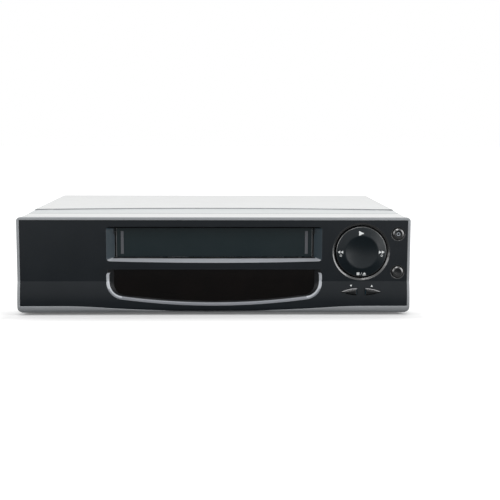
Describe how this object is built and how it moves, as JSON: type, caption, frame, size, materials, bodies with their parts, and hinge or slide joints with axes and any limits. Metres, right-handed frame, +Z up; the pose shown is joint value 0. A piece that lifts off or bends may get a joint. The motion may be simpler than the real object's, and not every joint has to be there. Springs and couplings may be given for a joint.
{
  "type": "video cassette recorder",
  "caption": "Front-loading home video cassette recorder with a bowed display window, a four-way rocker disc, round keys and its tape deck inside.",
  "frame": {"origin": "centre of the outline on the surface that the feet stand on", "axes": "+Z up, +X to the right as seen from the front, the front faces -Y"},
  "size_m": [0.38, 0.29, 0.0958],
  "materials": {
    "top_cover": "light silver-grey paint, fine texture",
    "front_bezel": "silver-grey painted plastic, satin",
    "fascia_panel": "charcoal plastic, satin, smooth",
    "display_window": "dark smoked acrylic, polished",
    "cassette_flap": "charcoal plastic, satin",
    "rocker_disc": "charcoal plastic, satin",
    "rocker_cross": "natural moulded plastic",
    "power_button": "charcoal plastic, satin",
    "record_button": "charcoal plastic, satin",
    "channel_down_button": "charcoal plastic, satin",
    "channel_up_button": "charcoal plastic, satin",
    "vfd_display": "grey-green fluorescent display glass",
    "control_board": "green solder mask",
    "tact_switches": "black moulded plastic",
    "base_tray": "bare zinc-plated sheet steel",
    "foot_front_left": "black rubber-faced plastic",
    "foot_front_right": "black rubber-faced plastic",
    "foot_rear_left": "black rubber-faced plastic",
    "foot_rear_right": "black rubber-faced plastic",
    "rear_panel": "black painted steel",
    "scart_socket_lower": "black moulded plastic",
    "scart_socket_upper": "black moulded plastic",
    "tuner_box": "tinplate",
    "antenna_in_socket": "nickel plate",
    "antenna_out_socket": "nickel plate",
    "mains_inlet": "black moulded plastic",
    "main_board": "green solder mask",
    "main_board_parts": "black epoxy and sleeving",
    "power_board": "brown paper laminate",
    "power_transformer": "varnished steel stack",
    "power_board_parts": "blue-black sleeving",
    "heat_sink": "extruded, natural",
    "deck_chassis": "zinc-plated sheet steel",
    "bracket_left": "zinc-plated sheet steel",
    "bracket_right": "zinc-plated sheet steel",
    "bracket_bridge": "zinc-plated sheet steel",
    "lift_slider": "zinc-plated sheet steel",
    "cassette_basket": "zinc-plated sheet steel",
    "lower_drum": "turned",
    "upper_drum": "turned and polished",
    "capstan_bearing": "sintered bronze",
    "capstan_flywheel": "turned steel",
    "reel_belt": "black rubber",
    "clutch_pulley": "natural acetal",
    "idler_arm": "zinc-plated sheet steel",
    "idler_wheel": "black rubber tyre",
    "supply_reel_table": "white acetal",
    "take_up_reel_table": "white acetal",
    "supply_guide": "polished steel on a moulded base",
    "take_up_guide": "polished steel on a moulded base",
    "pinch_arm": "zinc-plated sheet steel",
    "pinch_roller": "black rubber",
    "tension_arm": "zinc-plated sheet steel",
    "erase_head": "polished ferrite and steel can",
    "sound_head": "polished ferrite and steel can",
    "loading_motor": "nickel-plated can",
    "loading_pinion": "brass",
    "cam_gear": "natural acetal",
    "cover_screws": "black zinc",
    "foot_screws": "zinc plate"
  },
  "bodies": {
    "housing": {"top_cover": "top_cover", "front_bezel": "front_bezel", "fascia_panel": "fascia_panel", "display_window": "display_window", "vfd_display": "vfd_display", "control_board": "control_board", "tact_switches": "tact_switches", "base_tray": "base_tray", "foot_front_left": "foot_front_left", "foot_front_right": "foot_front_right", "foot_rear_left": "foot_rear_left", "foot_rear_right": "foot_rear_right", "rear_panel": "rear_panel", "scart_socket_lower": "scart_socket_lower", "scart_socket_upper": "scart_socket_upper", "tuner_box": "tuner_box", "antenna_in_socket": "antenna_in_socket", "antenna_out_socket": "antenna_out_socket", "mains_inlet": "mains_inlet", "main_board": "main_board", "main_board_parts": "main_board_parts", "power_board": "power_board", "power_transformer": "power_transformer", "power_board_parts": "power_board_parts", "heat_sink": "heat_sink", "deck_chassis": "deck_chassis", "bracket_left": "bracket_left", "bracket_right": "bracket_right", "bracket_bridge": "bracket_bridge", "lower_drum": "lower_drum", "capstan_bearing": "capstan_bearing", "reel_belt": "reel_belt", "erase_head": "erase_head", "sound_head": "sound_head", "loading_motor": "loading_motor", "cover_screws": "cover_screws", "foot_screws": "foot_screws"},
    "flap": {"cassette_flap": "cassette_flap"},
    "dial_cross": {"rocker_cross": "rocker_cross"},
    "dial": {"rocker_disc": "rocker_disc"},
    "power_key": {"power_button": "power_button"},
    "record_key": {"record_button": "record_button"},
    "channel_down_key": {"channel_down_button": "channel_down_button"},
    "channel_up_key": {"channel_up_button": "channel_up_button"},
    "slider": {"lift_slider": "lift_slider"},
    "basket": {"cassette_basket": "cassette_basket"},
    "drum": {"upper_drum": "upper_drum"},
    "flywheel": {"capstan_flywheel": "capstan_flywheel"},
    "clutch": {"clutch_pulley": "clutch_pulley"},
    "idler_lever": {"idler_arm": "idler_arm"},
    "idler": {"idler_wheel": "idler_wheel"},
    "supply_reel": {"supply_reel_table": "supply_reel_table"},
    "take_up_reel": {"take_up_reel_table": "take_up_reel_table"},
    "supply_carriage": {"supply_guide": "supply_guide"},
    "take_up_carriage": {"take_up_guide": "take_up_guide"},
    "pinch_lever": {"pinch_arm": "pinch_arm"},
    "pinch": {"pinch_roller": "pinch_roller"},
    "tension_lever": {"tension_arm": "tension_arm"},
    "cam": {"cam_gear": "cam_gear"},
    "pinion": {"loading_pinion": "loading_pinion"}
  },
  "joints": [
    {"name": "flap_hinge", "type": "hinge", "parent": "housing", "child": "flap", "pos_m": [0, -0.1296, 0.082], "axis": [1, 0, 0], "range_deg": [0, 85], "stiffness_Nm_per_rad": 0.01, "springref_deg": -20.05},
    {"name": "dial_tilt_up_down", "type": "hinge", "parent": "housing", "child": "dial_cross", "pos_m": [0.1424, -0.134, 0.0619], "axis": [1, 0, 0], "range_deg": [-3, 3], "stiffness_Nm_per_rad": 0.3},
    {"name": "dial_tilt_left_right", "type": "hinge", "parent": "dial_cross", "child": "dial", "pos_m": [0.1424, -0.134, 0.0619], "axis": [0, 0, 1], "range_deg": [-3, 3], "stiffness_Nm_per_rad": 0.3},
    {"name": "power_press", "type": "slide", "parent": "housing", "child": "power_key", "axis": [0, 1, 0], "range_m": [0, 0.0015], "stiffness_N_per_m": 300, "springref_m": -0.0004},
    {"name": "record_press", "type": "slide", "parent": "housing", "child": "record_key", "axis": [0, 1, 0], "range_m": [0, 0.0015], "stiffness_N_per_m": 300, "springref_m": -0.0004},
    {"name": "channel_down_press", "type": "slide", "parent": "housing", "child": "channel_down_key", "axis": [0, 1, 0], "range_m": [0, 0.0015], "stiffness_N_per_m": 300, "springref_m": -0.0004},
    {"name": "channel_up_press", "type": "slide", "parent": "housing", "child": "channel_up_key", "axis": [0, 1, 0], "range_m": [0, 0.0015], "stiffness_N_per_m": 300, "springref_m": -0.0004},
    {"name": "basket_draw_in", "type": "slide", "parent": "housing", "child": "slider", "axis": [0, 1, 0], "range_m": [0, 0.06]},
    {"name": "basket_lower", "type": "slide", "parent": "slider", "child": "basket", "axis": [0, 0, -1], "range_m": [0, 0.02]},
    {"name": "drum_spin", "type": "hinge", "parent": "housing", "child": "drum", "pos_m": [0, 0.036, 0.036], "axis": [-0.1045, 0, 0.9945], "continuous": true},
    {"name": "capstan_spin", "type": "hinge", "parent": "housing", "child": "flywheel", "pos_m": [0.066, 0.006, 0.02], "axis": [0, 0, 1], "continuous": true},
    {"name": "clutch_spin", "type": "hinge", "parent": "housing", "child": "clutch", "pos_m": [0, -0.04, 0.02], "axis": [0, 0, 1], "continuous": true},
    {"name": "idler_swing", "type": "hinge", "parent": "housing", "child": "idler_lever", "pos_m": [0, -0.04, 0.032], "axis": [0, 0, 1], "range_deg": [-21, 21]},
    {"name": "idler_spin", "type": "hinge", "parent": "idler_lever", "child": "idler", "pos_m": [0, -0.07, 0.034], "axis": [0, 0, 1], "continuous": true},
    {"name": "supply_reel_spin", "type": "hinge", "parent": "housing", "child": "supply_reel", "pos_m": [-0.046, -0.066, 0.034], "axis": [0, 0, 1], "continuous": true},
    {"name": "take_up_reel_spin", "type": "hinge", "parent": "housing", "child": "take_up_reel", "pos_m": [0.046, -0.066, 0.034], "axis": [0, 0, 1], "continuous": true},
    {"name": "supply_guide_run", "type": "slide", "parent": "housing", "child": "supply_carriage", "axis": [-0.2696, 0.963, 0], "range_m": [0, 0.0519]},
    {"name": "take_up_guide_run", "type": "slide", "parent": "housing", "child": "take_up_carriage", "axis": [0.2696, 0.963, 0], "range_m": [0, 0.0519]},
    {"name": "pinch_swing", "type": "hinge", "parent": "housing", "child": "pinch_lever", "pos_m": [0.088, 0.024, 0.034], "axis": [0, 0, 1], "range_deg": [-22, 0]},
    {"name": "pinch_roller_spin", "type": "hinge", "parent": "pinch_lever", "child": "pinch", "pos_m": [0.084, -0.002, 0.046], "axis": [0, 0, 1], "continuous": true},
    {"name": "tension_swing", "type": "hinge", "parent": "housing", "child": "tension_lever", "pos_m": [-0.066, -0.002, 0.034], "axis": [0, 0, 1], "range_deg": [-15, 15], "stiffness_Nm_per_rad": 0.01},
    {"name": "cam_turn", "type": "hinge", "parent": "housing", "child": "cam", "pos_m": [-0.078, 0.044, 0.034], "axis": [0, 0, 1], "range_deg": [0, 270]},
    {"name": "pinion_turn", "type": "hinge", "parent": "housing", "child": "pinion", "pos_m": [-0.078, 0.074, 0.034], "axis": [0, 0, 1], "range_deg": [-1080, 0]}
  ],
  "couplings": [
    {"joint": "clutch_spin", "follows": "capstan_spin", "ratio": 0.5},
    {"joint": "idler_spin", "follows": "capstan_spin", "ratio": -0.57609},
    {"joint": "pinion_turn", "follows": "cam_turn", "ratio": -4},
    {"joint": "supply_guide_run", "follows": "cam_turn", "m_per_rad": 0.011},
    {"joint": "take_up_guide_run", "follows": "cam_turn", "m_per_rad": 0.011},
    {"joint": "pinch_swing", "follows": "cam_turn", "ratio": -0.08}
  ]
}
